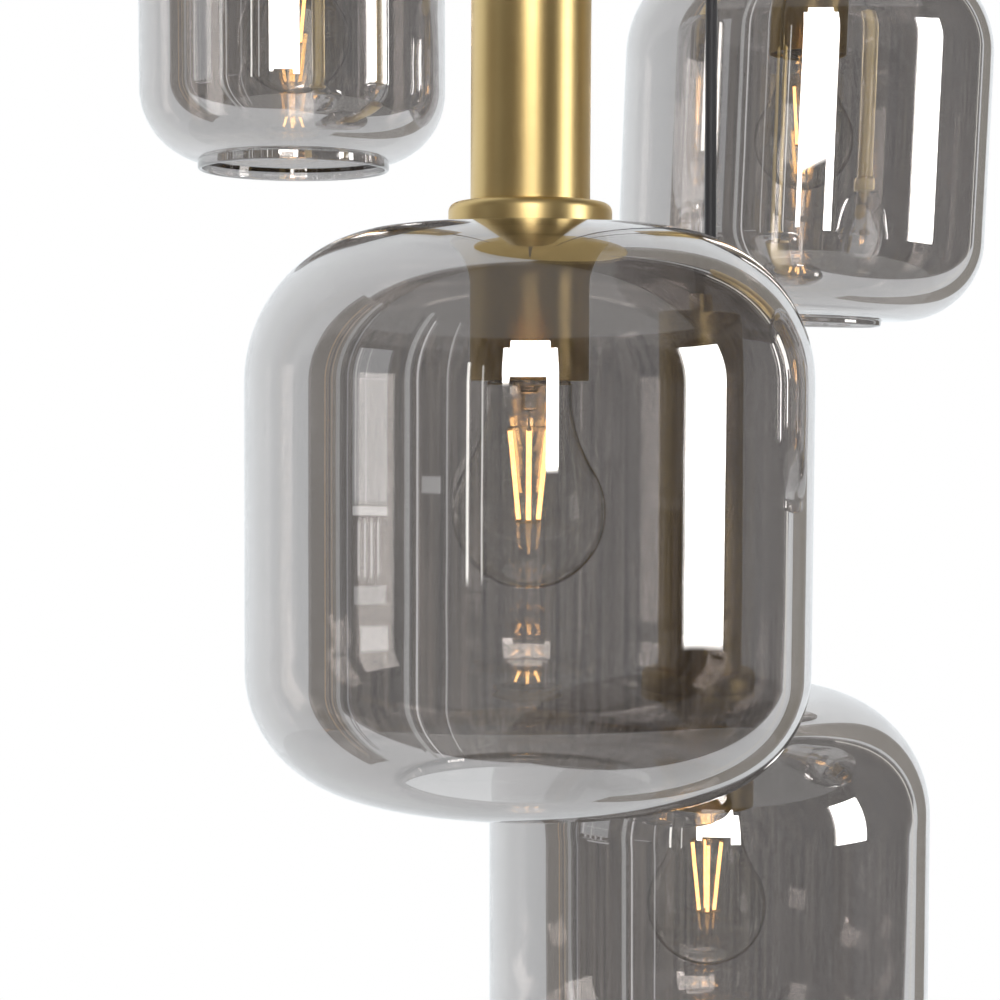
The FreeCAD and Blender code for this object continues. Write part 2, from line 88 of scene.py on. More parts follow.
class GlassSizes(bpy.types.PropertyGroup):
    """Blown jars: one outline, two sizes."""
    wide_radius: FloatProperty(
        name="Wide radius", description="Outer radius of a wide jar",
        default=half_width("centre_shade"), unit="LENGTH")
    wide_height: FloatProperty(
        name="Wide height", description="Height of a wide jar with its lip",
        default=tall("centre_shade"), unit="LENGTH")
    wide_shoulder: FloatProperty(
        name="Wide shoulder", description="Bend at the top of a wide jar",
        default=59.5 * MM, unit="LENGTH")
    wide_foot: FloatProperty(
        name="Wide foot", description="Bend at the bottom of a wide jar",
        default=47 * MM, unit="LENGTH")
    narrow_radius: FloatProperty(
        name="Narrow radius", description="Outer radius of a narrow jar",
        default=half_width("left_shade"), unit="LENGTH")
    narrow_height: FloatProperty(
        name="Narrow height", description="Height of a narrow jar with its lip",
        default=tall("left_shade"), unit="LENGTH")
    narrow_shoulder: FloatProperty(
        name="Narrow shoulder", description="Bend at the top of a narrow jar",
        default=45 * MM, unit="LENGTH")
    narrow_foot: FloatProperty(
        name="Narrow foot", description="Bend at the bottom of a narrow jar",
        default=38.5 * MM, unit="LENGTH")
    wall: FloatProperty(
        name="Wall", description="Thickness of the glass", default=2.5 * MM, unit="LENGTH")
    hole: FloatProperty(
        name="Hole", description="Radius of the hole at the top",
        default=21 * MM, unit="LENGTH")
    mouth: FloatProperty(
        name="Mouth", description="Outer radius of the lip",
        default=51.5 * MM, unit="LENGTH")
    lip: FloatProperty(
        name="Lip", description="How far the lip stands below the foot",
        default=4 * MM, unit="LENGTH")
    unevenness: FloatProperty(
        name="Unevenness", description="How far the blown wall strays inwards",
        default=0.25 * MM, unit="LENGTH")


class BrassSizes(bpy.types.PropertyGroup):
    """Turned and drawn brass of one pendant."""
    tube_radius: FloatProperty(
        name="Tube radius", description="Outer radius of the tube",
        default=half_width("centre_tube"), unit="LENGTH")
    tube_top: FloatProperty(
        name="Tube top", description="Top of the tube over the glass",
        default=from_glass("centre_tube", 1), unit="LENGTH")
    sheet: FloatProperty(
        name="Sheet", description="Wall of the tube and of the cup",
        default=1.2 * MM, unit="LENGTH")
    collar_radius: FloatProperty(
        name="Collar radius", description="Radius of the disc on the glass",
        default=half_width("centre_collar"), unit="LENGTH")
    collar_top: FloatProperty(
        name="Collar top", description="Top of the disc over the glass",
        default=from_glass("centre_tube", 0), unit="LENGTH")
    collar_edge: FloatProperty(
        name="Collar edge", description="Rounding of the disc's upper edge",
        default=3.5 * MM, unit="LENGTH")
    gland_radius: FloatProperty(
        name="Gland radius", description="Radius of the cord gland",
        default=half_width("centre_cord_gland"), unit="LENGTH")
    gland_top: FloatProperty(
        name="Gland top", description="Top of the cord gland over the glass",
        default=from_glass("centre_cord_gland", 1), unit="LENGTH")
    flare_radius: FloatProperty(
        name="Flare radius", description="Radius of the cup where it meets the glass",
        default=half_width("centre_socket_cup"), unit="LENGTH")
    flare_depth: FloatProperty(
        name="Flare depth", description="Height over which the flare narrows",
        default=18.5 * MM, unit="LENGTH")
    cup_radius: FloatProperty(
        name="Cup radius", description="Radius of the straight part of the cup",
        default=23 * MM, unit="LENGTH")
    cup_bottom: FloatProperty(
        name="Cup bottom", description="Bottom of the cup over the glass top",
        default=from_glass("centre_socket_cup", 0), unit="LENGTH")
    rod_bore: FloatProperty(
        name="Rod bore", description="Radius of the holes for the threaded rod",
        default=5.15 * MM, unit="LENGTH")
    worn_edge: FloatProperty(
        name="Worn edge", description="Rounding of the edges that are not shaped",
        default=0.4 * MM, unit="LENGTH")


class LampSizes(bpy.types.PropertyGroup):
    """Screw-cap lamp with four light strips."""
    radius: FloatProperty(
        name="Radius", description="Radius of the round envelope",
        default=half_width("centre_bulb_glass"), unit="LENGTH")
    bottom: FloatProperty(
        name="Bottom", description="Bottom of the envelope over the glass top",
        default=from_glass("centre_bulb_glass", 0), unit="LENGTH")
    neck_top: FloatProperty(
        name="Neck top", description="Top of the envelope over the glass top",
        default=from_glass("centre_bulb_glass", 1), unit="LENGTH")
    neck_radius: FloatProperty(
        name="Neck radius", description="Radius of the straight neck",
        default=16.7 * MM, unit="LENGTH")
    neck_length: FloatProperty(
        name="Neck length", description="Length of the straight neck",
        default=7 * MM, unit="LENGTH")
    neck_edge: FloatProperty(
        name="Neck edge", description="Rounding at the top of the neck",
        default=3.5 * MM, unit="LENGTH")
    wall: FloatProperty(
        name="Wall", description="Thickness of the envelope",
        default=0.8 * MM, unit="LENGTH")
    cap_radius: FloatProperty(
        name="Cap radius", description="Outer radius of the cap's thread",
        default=half_width("centre_bulb_cap"), unit="LENGTH")
    cap_top: FloatProperty(
        name="Cap top", description="Top of the contact over the glass top",
        default=from_glass("centre_bulb_cap", 1), unit="LENGTH")
    thread_pitch: FloatProperty(
        name="Thread pitch", description="Rise of the cap's thread in one turn",
        default=3.62 * MM, unit="LENGTH")
    thread_depth: FloatProperty(
        name="Thread depth", description="Depth of the cap's thread",
        default=1.0 * MM, unit="LENGTH")
    contact: FloatProperty(
        name="Contact", description="Radius of the contact tip",
        default=4.6 * MM, unit="LENGTH")
    strip_bottom: FloatProperty(
        name="Strip bottom", description="Lower end of the light strips",
        default=from_glass("centre_bulb_filament", 0) + 0.4 * MM, unit="LENGTH")
    strip_height: FloatProperty(
        name="Strip height", description="Height that a light strip covers",
        default=37 * MM, unit="LENGTH")
    strip_spread: FloatProperty(
        name="Strip spread", description="Distance of the strips' tops from the axis",
        default=7.4 * MM, unit="LENGTH")
    strip_close: FloatProperty(
        name="Strip close", description="Distance of the strips' feet from the axis",
        default=3.7 * MM, unit="LENGTH")
    strip_radius: FloatProperty(
        name="Strip radius", description="Radius of a light strip",
        default=0.9 * MM, unit="LENGTH")
    wire_radius: FloatProperty(
        name="Wire radius", description="Radius of the support wires",
        default=0.4 * MM, unit="LENGTH")
    stem_radius: FloatProperty(
        name="Stem radius", description="Radius of the glass stem below its flare",
        default=3.4 * MM, unit="LENGTH")
    stem_length: FloatProperty(
        name="Stem length", description="Length of the glass stem",
        default=12 * MM, unit="LENGTH")


class CordSizes(bpy.types.PropertyGroup):
    """Cord of one pendant."""
    diameter: FloatProperty(
        name="Diameter", description="Diameter over the sleeve",
        default=2 * half_width("centre_cord"), unit="LENGTH")
    tuck: FloatProperty(
        name="Tuck", description="How far each end goes into its brass",
        default=1 * MM, unit="LENGTH")
    strands: IntProperty(
        name="Strands", description="Strands of the sleeve in each direction",
        default=12, min=4)
    braid_pitch: FloatProperty(
        name="Braid pitch", description="Length in which a strand goes round once",
        default=24 * MM, unit="LENGTH")


class Colours(bpy.types.PropertyGroup):
    """Base colours of the finishes."""
    brass: FloatVectorProperty(
        name="Brass", description="Satin brass", subtype="COLOR", default=(0.82, 0.63, 0.30))
    brass_shade: FloatVectorProperty(
        name="Brass shade", description="Toned brass between the brush marks",
        subtype="COLOR", default=(0.66, 0.48, 0.21))
    smoke: FloatVectorProperty(
        name="Smoke", description="Half-mirrored smoked glass", subtype="COLOR",
        default=(0.745, 0.725, 0.715))
    clear: FloatVectorProperty(
        name="Clear", description="Clear lamp glass", subtype="COLOR",
        default=(0.995, 0.995, 0.99))
    glow: FloatVectorProperty(
        name="Glow", description="Light of the strips", subtype="COLOR",
        default=(1.0, 0.42, 0.08))
    cord: FloatVectorProperty(
        name="Cord", description="Black woven sleeve", subtype="COLOR",
        default=(0.014, 0.014, 0.016))
    porcelain: FloatVectorProperty(
        name="Porcelain", description="Glazed lampholder", subtype="COLOR",
        default=(0.84, 0.82, 0.77))
    nickel: FloatVectorProperty(
        name="Nickel", description="Nickel plate", subtype="COLOR",
        default=(0.68, 0.65, 0.60))
    zinc: FloatVectorProperty(
        name="Zinc", description="Zinc-plated steel", subtype="COLOR",
        default=(0.56, 0.58, 0.60))
    plastic: FloatVectorProperty(
        name="Plastic", description="Connector block", subtype="COLOR",
        default=(0.80, 0.78, 0.71))
    insulator: FloatVectorProperty(
        name="Insulator", description="Black glass of the lamp cap", subtype="COLOR",
        default=(0.012, 0.010, 0.014))
    floor: FloatVectorProperty(
        name="Floor", description="Studio floor", subtype="COLOR",
        default=(0.86, 0.86, 0.86))


class StageSizes(bpy.types.PropertyGroup):
    """Camera, floor and light."""
    camera_place: FloatVectorProperty(
        name="Camera place", description="Where the camera stands", subtype="TRANSLATION",
        unit="LENGTH", default=(-0.104, -0.970, -0.970))
    camera_dip: FloatProperty(
        name="Camera dip", description="How far the camera looks down",
        default=math.radians(2.97), subtype="ANGLE")
    camera_lens: FloatProperty(
        name="Lens", description="Focal length in millimetres on a 36 mm sensor",
        default=70.2)
    floor_height: FloatProperty(
        name="Floor height", description="Height of the studio floor", default=-2.0,
        unit="LENGTH")
    floor_radius: FloatProperty(
        name="Floor radius", description="Radius of the studio floor", default=1.85,
        unit="LENGTH")
    light_place: FloatVectorProperty(
        name="Light place", description="Where the overhead light hangs",
        subtype="TRANSLATION", unit="LENGTH", default=(0.2, -1.6, 0.9))
    light_aim: FloatVectorProperty(
        name="Light aim", description="Point that the overhead light faces",
        subtype="TRANSLATION", unit="LENGTH", default=(0, 0, -0.8))
    light_width: FloatProperty(
        name="Light width", description="Width of the overhead light", default=1.2,
        unit="LENGTH")
    light_depth: FloatProperty(
        name="Light depth", description="Depth of the overhead light", default=0.8,
        unit="LENGTH")
    light_power: FloatProperty(
        name="Light power", description="Watts of the overhead light", default=40,
        unit="POWER")


# ---- turned meshes
def arc(centre_r, centre_z, radius, start, end, step=5):
    """Points of an outline along a circle, from one angle to another in degrees."""
    count = max(2, math.ceil(abs(end - start) / step))
    angles = [math.radians(start + (end - start) * i / count) for i in range(count + 1)]
    return [(centre_r + radius * math.cos(a), centre_z + radius * math.sin(a)) for a in angles]


def eased(corners):
    """A closed outline of (r, z) corners, where (r, z, edge) is rounded by that radius."""
    points = []
    for i, corner in enumerate(corners):
        here = Vector(corner[:2])
        if len(corner) == 2:
            points.append(tuple(here))
            continue
        to_last = Vector(corners[i - 1][:2]) - here
        to_next = Vector(corners[(i + 1) % len(corners)][:2]) - here
        half = to_last.angle(to_next) / 2
        side = min(to_last.length, to_next.length)
        edge = min(corner[2], SIDE_SHARE * side * math.tan(half))
        first = here + to_last.normalized() * edge / math.tan(half)
        last = here + to_next.normalized() * edge / math.tan(half)
        inwards = (to_last.normalized() + to_next.normalized()).normalized()
        centre = here + inwards * edge / math.sin(half)
        small = edge < 2 * MM
        steps = 4 if small else 10
        for j in range(steps + 1):
            way = (first - centre).lerp(last - centre, j / steps).normalized()
            points.append(tuple(centre + way * edge))
    return points


def turned(mesh, profile, segments=96, shift=None, at=Matrix()):
    """Turn a closed outline about Z into mesh. shift(angle, r, z) may return another radius."""
    rings = []
    for r, z in profile:
        if r < ON_AXIS:
            rings.append([mesh.verts.new(at @ Vector((0, 0, z)))])
            continue
        ring = []
        for k in range(segments):
            angle = 2 * math.pi * k / segments
            reach = shift(angle, r, z) if shift else r
            spot = Vector((reach * math.cos(angle), reach * math.sin(angle), z))
            ring.append(mesh.verts.new(at @ spot))
        rings.append(ring)
    for here, after in zip(rings, rings[1:] + rings[:1]):
        for k in range(segments):
            corners = [here[k % len(here)], here[(k + 1) % len(here)],
                       after[(k + 1) % len(after)], after[k % len(after)]]
            corners = list(dict.fromkeys(corners))
            if len(corners) > 2:
                mesh.faces.new(corners)


def rod_between(mesh, start, end, radius, segments=12):
    """A round-ended rod from one point to another."""
    way = end - start
    at = Matrix.Translation(start) @ way.to_track_quat("Z", "Y").to_matrix().to_4x4()
    outline = arc(0, way.length - radius, radius, 90, 0, step=30)
    outline += arc(0, radius, radius, 0, -90, step=30)
    outline[0] = (0, way.length)
    outline[-1] = (0, 0)
    turned(mesh, outline, segments, at=at)


def piece(name, mesh, finish, place=Matrix(), crease=38):
    """An object from a mesh in the making, smooth but for its sharp edges."""
    bmesh.ops.recalc_face_normals(mesh, faces=mesh.faces)
    data = bpy.data.meshes.new(name)
    mesh.to_mesh(data)
    mesh.free()
    data.polygons.foreach_set("use_smooth", [True] * len(data.polygons))
    data.set_sharp_from_angle(angle=math.radians(crease))
    data.materials.append(finish)
    made = bpy.data.objects.new(name, data)
    bpy.context.scene.collection.objects.link(made)
    made.matrix_world = place
    return made


def turned_piece(name, profile, finish, place, segments=96, shift=None):
    mesh = bmesh.new()
    turned(mesh, profile, segments, shift)
    return piece(name, mesh, finish, place)


def settle(made, body, node):
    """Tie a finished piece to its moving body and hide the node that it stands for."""
    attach(made, body)
    if node:
        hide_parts(node)


def dress(node_name, finish):
    """Give a node of the frame its finish."""
    slots = frame["nodes"][node_name].data.materials
    slots.clear()
    slots.append(finish)


def joint(name):
    return next(j for j in frame["joints"] if j["name"] == name)


def pendant_place(pendant, brass):
    """Frame of a pendant: its origin on the top of the glass, its Z up the tube."""
    down = Vector(joint(pendant + "_lamp_unscrew")["axis"])
    gland = Vector(joint(pendant + "_tilt")["pos_m"])
    turn = Vector((0, 0, -1)).rotation_difference(down)
    return Matrix.Translation(gland + down * brass.gland_top) @ turn.to_matrix().to_4x4()


# ---- finishes
FINISHES = {}


def made_once(build):
    """Keep what a finish function builds, and hand it out again when it is asked for again."""
    def ask(*choices, **more):
        key = (build.__name__,) + tuple(c for c in choices if isinstance(c, str))
        if key not in FINISHES:
            FINISHES[key] = build(*choices, **more)
        return FINISHES[key]
    return ask


def fresh_finish(name):
    """A node material with its Principled shader."""
    finish = bpy.data.materials.new(name)
    finish.use_nodes = True
    return finish, finish.node_tree, finish.node_tree.nodes["Principled BSDF"]


def node(tree, kind, settings=None, **inputs):
    """A node with its settings. Its inputs are values or sockets to join, by name or as i0, i1."""
    made = tree.nodes.new(kind)
    for key, value in (settings or {}).items():
        setattr(made, key, value)
    for key, value in inputs.items():
        number = key[1:]
        socket = made.inputs[int(number) if number.isdigit() else key.replace("_", " ")]
        if isinstance(value, bpy.types.NodeSocket):
            tree.links.new(value, socket)
        else:
            socket.default_value = value
    return made


def maths(tree, operation, *values):
    inputs = {"i%d" % i: value for i, value in enumerate(values)}
    return node(tree, "ShaderNodeMath", {"operation": operation}, **inputs).outputs[0]


def spread(tree, source, low, high, start=0.0, end=1.0, smooth=False):
    """A source that runs from start to end, stretched to run from low to high."""
    settings = {"interpolation_type": "SMOOTHSTEP" if smooth else "LINEAR"}
    mapped = node(tree, "ShaderNodeMapRange", settings, Value=source, From_Min=start,
                  From_Max=end, To_Min=low, To_Max=high)
    return mapped.outputs["Result"]


def blend(tree, share, first, second):
    """Two colours mixed by a share."""
    mixed = node(tree, "ShaderNodeMix", {"data_type": "RGBA"}, Factor=share)
    for value, socket in ((first, mixed.inputs[6]), (second, mixed.inputs[7])):
        if isinstance(value, bpy.types.NodeSocket):
            tree.links.new(value, socket)
        else:
            socket.default_value = (*value, 1)
    return mixed.outputs[2]


def local_spot(tree):
    return node(tree, "ShaderNodeTexCoord").outputs["Object"]


def grain(tree, vector, scale, detail=3, roughness=0.5):
    noisy = node(tree, "ShaderNodeTexNoise", Vector=vector, Scale=scale, Detail=detail,
                 Roughness=roughness)
    return noisy.outputs["Fac"]


def bumped(tree, shader, height, strength, depth):
    bump = node(tree, "ShaderNodeBump", Height=height, Strength=strength, Distance=depth)
    tree.links.new(bump.outputs["Normal"], shader.inputs["Normal"])


def ring_coordinates(tree, stretch):
    """Distance from the turning axis and height, so that a texture runs in rings."""
    xyz = node(tree, "ShaderNodeSeparateXYZ", Vector=local_spot(tree))
    across = maths(tree, "MULTIPLY", xyz.outputs["X"], xyz.outputs["X"])
    along = maths(tree, "MULTIPLY", xyz.outputs["Y"], xyz.outputs["Y"])
    reach = maths(tree, "SQRT", maths(tree, "ADD", across, along))
    turn = maths(tree, "ARCTAN2", xyz.outputs["Y"], xyz.outputs["X"])
    rings = node(tree, "ShaderNodeCombineXYZ", X=reach, Y=xyz.outputs["Z"],
                 Z=maths(tree, "MULTIPLY", turn, stretch))
    return rings.outputs[0]


@made_once
def satin_brass(colours):
    """Brushed round on the lathe: fine rings, a soft sheen across them, slight toning."""
    finish, tree, shader = fresh_finish("satin_brass")
    rings = ring_coordinates(tree, stretch=0.0006)
    brush = grain(tree, rings, scale=2600, detail=4, roughness=0.65)
    toning = grain(tree, local_spot(tree), scale=22, detail=5)
    share = spread(tree, toning, -0.25, 1.1)
    tone = blend(tree, share, colours.brass_shade, colours.brass)
    tree.links.new(tone, shader.inputs["Base Color"])
    tree.links.new(spread(tree, brush, 0.31, 0.46), shader.inputs["Roughness"])
    shader.inputs["Metallic"].default_value = 1
    shader.inputs["Anisotropic"].default_value = 0.45
    shader.inputs["Anisotropic Rotation"].default_value = 0.25
    tangent = node(tree, "ShaderNodeTangent", {"direction_type": "RADIAL", "axis": "Z"})
    tree.links.new(tangent.outputs[0], shader.inputs["Tangent"])
    bumped(tree, shader, brush, strength=0.12, depth=0.02 * MM)
    return finish


@made_once
def smoked_glass(colours):
    """Half-mirrored smoked glass: part of the light goes back, the rest through a grey wall."""
    finish, tree, shader = fresh_finish("smoked_glass")
    spot = local_spot(tree)
    cloud = grain(tree, spot, scale=9, detail=2)
    lighter = tuple(min(1.0, 1.07 * c) for c in colours.smoke)
    tree.links.new(blend(tree, cloud, colours.smoke, lighter), shader.inputs["Base Color"])
    shader.inputs["Metallic"].default_value = 0.36
    shader.inputs["Roughness"].default_value = 0.0
    shader.inputs["IOR"].default_value = 1.5
    shader.inputs["Transmission Weight"].default_value = 1
    swell = grain(tree, spot, scale=26, detail=1)
    bumped(tree, shader, swell, strength=0.25, depth=0.2 * MM)
    return finish


@made_once
def clear_glass(colours):
    """Thin lamp glass with slight drawing lines."""
    finish, tree, shader = fresh_finish("clear_glass")
    spot = local_spot(tree)
    greener = (0.975, 0.98, 0.975)
    tint = blend(tree, grain(tree, spot, scale=60), colours.clear, greener)
    tree.links.new(tint, shader.inputs["Base Color"])
    shader.inputs["Roughness"].default_value = 0.0
    shader.inputs["IOR"].default_value = 1.47
    shader.inputs["Transmission Weight"].default_value = 1
    lines = grain(tree, spot, scale=90, detail=1)
    bumped(tree, shader, lines, strength=0.08, depth=0.3 * MM)
    return finish


@made_once
def lit_strip(colours):
    """Light strip: warm phosphor that glows along its length, a little uneven."""
    finish, tree, shader = fresh_finish("lit_strip")
    dots = grain(tree, local_spot(tree), scale=900, detail=2)
    paler = (1.0, 0.70, 0.30)
    glow = blend(tree, dots, colours.glow, paler)
    tree.links.new(glow, shader.inputs["Emission Color"])
    tree.links.new(glow, shader.inputs["Base Color"])
    shader.inputs["Emission Strength"].default_value = 9
    shader.inputs["Roughness"].default_value = 0.5
    finish.cycles.emission_sampling = "NONE"
    return finish


@made_once
def nickel_plate(colours):
    """Nickel plate: roughness and tone from one grain."""
    finish, tree, shader = fresh_finish("nickel_plate")
    spots = grain(tree, local_spot(tree), scale=700, detail=5)
    darker = tuple(0.82 * c for c in colours.nickel)
    tree.links.new(blend(tree, spots, darker, colours.nickel), shader.inputs["Base Color"])
    tree.links.new(spread(tree, spots, 0.16, 0.34), shader.inputs["Roughness"])
    shader.inputs["Metallic"].default_value = 1
    bumped(tree, shader, spots, strength=0.1, depth=0.02 * MM)
    return finish


@made_once
def zinc_steel(colours):
    """Zinc plate with its cells."""
    finish, tree, shader = fresh_finish("zinc_steel")
    cells = node(tree, "ShaderNodeTexVoronoi", Vector=local_spot(tree), Scale=260)
    depth = cells.outputs["Distance"]
    share = spread(tree, depth, 0.0, 1.2)
    darker = tuple(0.75 * c for c in colours.zinc)
    tree.links.new(blend(tree, share, colours.zinc, darker), shader.inputs["Base Color"])
    tree.links.new(spread(tree, depth, 0.28, 0.5), shader.inputs["Roughness"])
    shader.inputs["Metallic"].default_value = 1
    bumped(tree, shader, depth, strength=0.1, depth=0.05 * MM)
    return finish


@made_once
def dielectric(name, colour, rough, scale, bump, coat=0.0):
    """Glaze, moulded plastic or black glass: grain in tone, gloss and surface."""
    finish, tree, shader = fresh_finish(name)
    spots = grain(tree, local_spot(tree), scale=scale, detail=4)
    darker = tuple(0.88 * c for c in colour)
    tree.links.new(blend(tree, spots, darker, colour), shader.inputs["Base Color"])
    tree.links.new(spread(tree, spots, 0.8 * rough, 1.2 * rough), shader.inputs["Roughness"])
    shader.inputs["Coat Weight"].default_value = coat
    shader.inputs["Coat Roughness"].default_value = 0.05
    bumped(tree, shader, spots, strength=bump, depth=0.1 * MM)
    return finish


@made_once
def woven_sleeve(colours, cord):
    """Fine black sleeve: two sets of strands that cross on a slant."""
    finish, tree, shader = fresh_finish("woven_sleeve")
    xyz = node(tree, "ShaderNodeSeparateXYZ", Vector=local_spot(tree))
    turn = maths(tree, "ARCTAN2", xyz.outputs["Y"], xyz.outputs["X"])
    rise = maths(tree, "MULTIPLY", xyz.outputs["Z"], 2 * math.pi / cord.braid_pitch)
    strands = []
    for way in (1, -1):
        phase = maths(tree, "MULTIPLY_ADD", rise, way, turn)
        strands.append(maths(tree, "SINE", maths(tree, "MULTIPLY", phase, cord.strands)))
    weave = spread(tree, maths(tree, "MULTIPLY", *strands), 0.4, 0.6)
    lighter = tuple(3.2 * c for c in colours.cord)
    tree.links.new(blend(tree, weave, colours.cord, lighter), shader.inputs["Base Color"])
    tree.links.new(spread(tree, weave, 0.42, 0.6), shader.inputs["Roughness"])
    shader.inputs["Sheen Weight"].default_value = 0.15
    bumped(tree, shader, weave, strength=0.3, depth=0.2 * MM)
    return finish


def studio_floor(colours):
    """Matt pale floor."""
    return dielectric("studio_floor", colours.floor, rough=0.8, scale=6, bump=0.05)


# ---- outlines
def jar_outline(radius, height, shoulder, foot, glass):
    """Closed outline of a jar. The foot sweeps into the lip, or ends flat beside it."""
    base = -(height - glass.lip)
    axis = radius - foot
    inner_mouth = glass.mouth - glass.wall
    hole_edge = 0.5 * MM
    lip_bend = 1.4 * MM
    lip_edge = SIDE_SHARE * glass.wall

    def sweep(bend, reach):
        return math.degrees(math.acos(max(0.0, (reach - axis) / bend)))

    outside = [(glass.hole, 0, hole_edge)]
    outside += arc(radius - shoulder, -shoulder, shoulder, 90, 0, FINE_STEP)
    outside += arc(axis, base + foot, foot, 0, -sweep(foot, glass.mouth), FINE_STEP)
    if glass.mouth < axis:
        outside.append((glass.mouth, base, lip_bend))
    lip = [(glass.mouth, -height, lip_edge), (inner_mouth, -height, lip_edge)]
    bend = foot - glass.wall
    inside = arc(axis, base + foot, bend, -sweep(bend, inner_mouth), 0, FINE_STEP)
    if inner_mouth < axis:
        inside.insert(0, (inner_mouth, base + glass.wall, lip_bend))
    inside += arc(radius - shoulder, -shoulder, shoulder - glass.wall, 0, 90, FINE_STEP)
    inside.append((glass.hole, -glass.wall, hole_edge))
    return eased(outside + lip + inside)


def bulb_outline(lamp):
    """Closed outline of the envelope: neck, hollow sweep, round bulb, one thin wall."""
    centre = lamp.bottom + lamp.radius
    neck_end = lamp.neck_top - lamp.neck_length
    fall = neck_end - centre
    hollow = ((lamp.neck_radius ** 2 + fall ** 2 - lamp.radius ** 2)
              / (2 * (lamp.radius - lamp.neck_radius)))
    turn = math.degrees(math.atan2(fall, lamp.neck_radius + hollow))
    neck_axis = lamp.neck_radius - lamp.neck_edge
    shells = []
    for inset in (0, lamp.wall):
        edge = lamp.neck_edge - inset
        shell = arc(neck_axis, lamp.neck_top - lamp.neck_edge, edge, 90, 0, step=15)
        bend = hollow + inset
        shell += arc(lamp.neck_radius + hollow, neck_end, bend, 180, 180 + turn, step=4)
        shell += arc(0, centre, lamp.radius - inset, turn, -90, step=4)
        shell[-1] = (0, lamp.bottom + inset)
        shells.append(shell)
    return shells[0] + shells[1][::-1]


# ---- operators
class PENDANT_OT_shades(bpy.types.Operator):
    """Blow the five smoked-glass jars"""
    bl_idname = "pendant.shades"
    bl_label = "Glass shades"

    def execute(self, context):
        scene = context.scene
        glass = scene.pendant_glass
        finish = smoked_glass(scene.pendant_colours)
        wide = (glass.wide_radius, glass.wide_height, glass.wide_shoulder, glass.wide_foot)
        narrow = (glass.narrow_radius, glass.narrow_height, glass.narrow_shoulder,
                  glass.narrow_foot)
        waves_round = 2.2
        waves_down = 14
        jar_step = 7.3
        for number, pendant in enumerate(PENDANTS):
            def stray(angle, r, z, seed=number * jar_step):
                spot = Vector((waves_round * math.cos(angle), waves_round * math.sin(angle),
                               waves_down * z + seed))
                return r - glass.unevenness * (0.5 + 0.5 * noise.noise(spot))

            outline = jar_outline(*(narrow if pendant in NARROW else wide), glass)
            place = pendant_place(pendant, scene.pendant_brass)
            shade = turned_piece(pendant + "_glass", outline, finish, place, segments=128,
                                 shift=stray)
            settle(shade, pendant + "_pendant", pendant + "_shade")
        return {"FINISHED"}


class PENDANT_OT_tubes(bpy.types.Operator):
    """Turn the brass tubes, collars and cord glands"""
    bl_idname = "pendant.tubes"
    bl_label = "Tubes, collars and glands"

    def execute(self, context):
        scene = context.scene
        brass = scene.pendant_brass
        cord_bore = scene.pendant_cord.diameter / 2 + 0.4 * MM
        finish = satin_brass(scene.pendant_colours)
        inner = brass.tube_radius - brass.sheet
        seam = 0.25 * MM
        spigot = inner - 0.1 * MM
        spigot_top = brass.collar_top + 6 * MM
        rod_top = brass.tube_top + 6.5 * MM
        outlines = {
            "tube": [
                (brass.tube_radius, brass.collar_top, seam),
                (brass.tube_radius, brass.tube_top, 0.8 * MM),
                (brass.rod_bore, brass.tube_top, seam),
                (brass.rod_bore, brass.tube_top - brass.sheet),
                (inner, brass.tube_top - brass.sheet),
                (inner, brass.collar_top),
            ],
            "collar": [
                (brass.collar_radius, 0, brass.worn_edge),
                (brass.collar_radius, brass.collar_top, brass.collar_edge),
                (spigot, brass.collar_top),
                (spigot, spigot_top, seam),
                (brass.rod_bore, spigot_top),
                (brass.rod_bore, 0),
            ],
            "cord_gland": [
                (brass.gland_radius, brass.tube_top, seam),
                (brass.gland_radius, brass.gland_top, 1 * MM),
                (cord_bore, brass.gland_top, 0.3 * MM),
                (cord_bore, rod_top),
                (brass.rod_bore, rod_top),
                (brass.rod_bore, brass.tube_top),
            ],
        }
        for pendant in PENDANTS:
            place = pendant_place(pendant, brass)
            for part, outline in outlines.items():
                name = "%s_brass_%s" % (pendant, part)
                made = turned_piece(name, eased(outline), finish, place)
                settle(made, pendant + "_pendant", "%s_%s" % (pendant, part))
        return {"FINISHED"}


